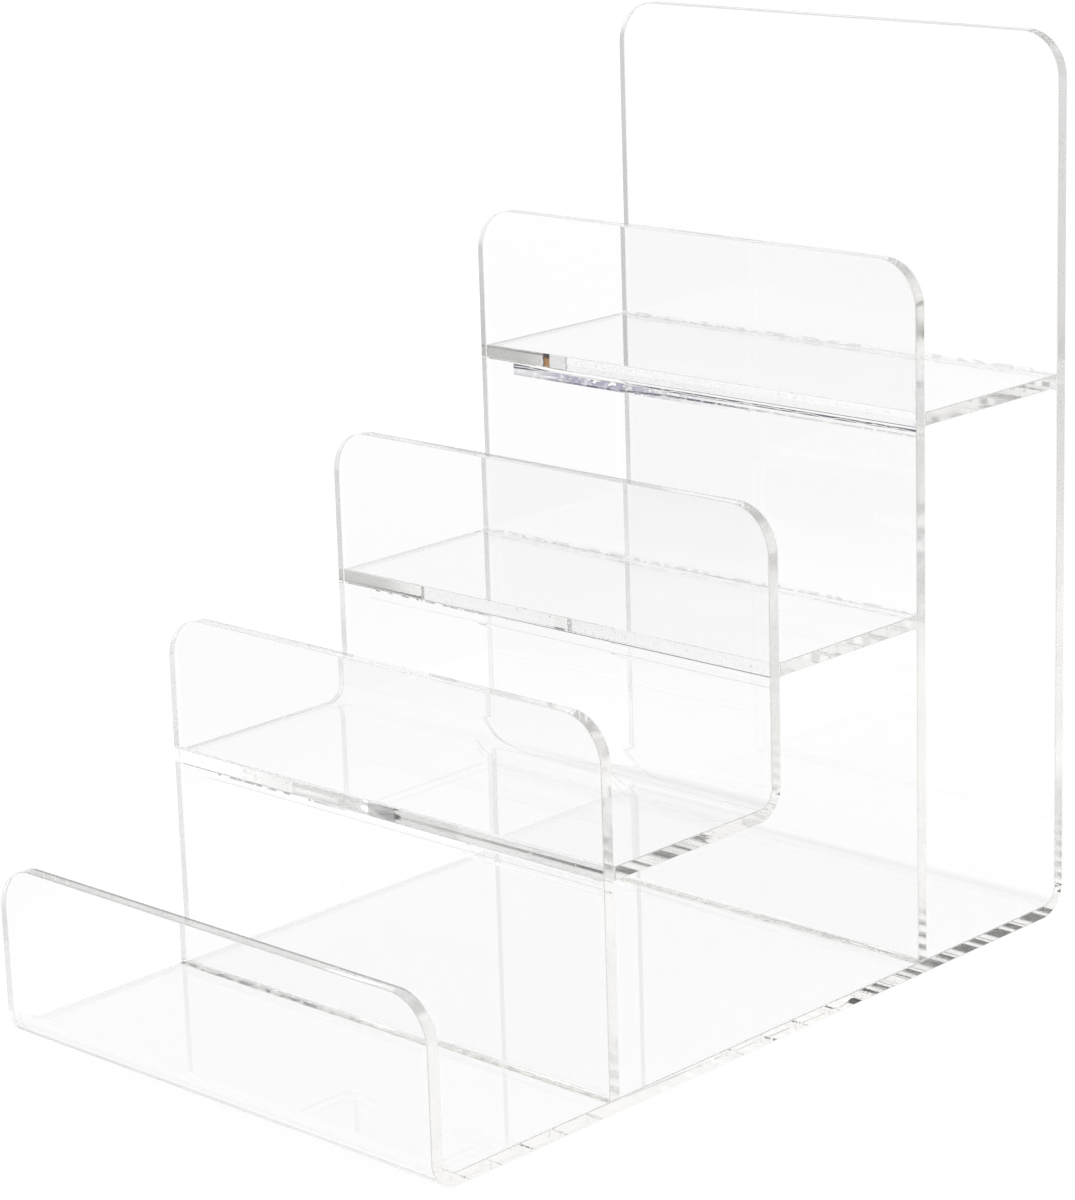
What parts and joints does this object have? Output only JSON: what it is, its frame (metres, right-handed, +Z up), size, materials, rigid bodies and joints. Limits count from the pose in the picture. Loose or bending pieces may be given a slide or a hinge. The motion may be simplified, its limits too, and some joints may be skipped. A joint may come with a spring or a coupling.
{
  "type": "stepped vanity organizer",
  "caption": "Clear acrylic stepped organizer with rising open trays, rounded lips and a tall back panel, for cosmetics or small goods on a vanity.",
  "frame": {"origin": "middle of the underside, on the table, half-way between lip and back and between the two sides", "axes": "+Z up, -Y towards the user: the front lip faces -Y and the tall back panel is at +Y; +X along the width, to the user's right"},
  "size_m": [0.127, 0.2032, 0.1996],
  "materials": {
    "clear_acrylic": "clear cast acrylic sheet, glossy faces, polished edges",
    "cement": "clear acrylic cement with fine bubbles"
  },
  "bodies": {
    "root": {"base_sheet": "clear_acrylic", "riser_one": "clear_acrylic", "riser_two": "clear_acrylic", "riser_three": "clear_acrylic", "shelf_three": "clear_acrylic", "shelf_four": "clear_acrylic", "cement_riser_one": "cement", "cement_shelf_two": "cement", "cement_shelf_three_front": "cement", "cement_shelf_three_rear": "cement", "cement_riser_three": "cement", "cement_shelf_four_front": "cement", "cement_shelf_four_rear": "cement"}
  },
  "joints": []
}
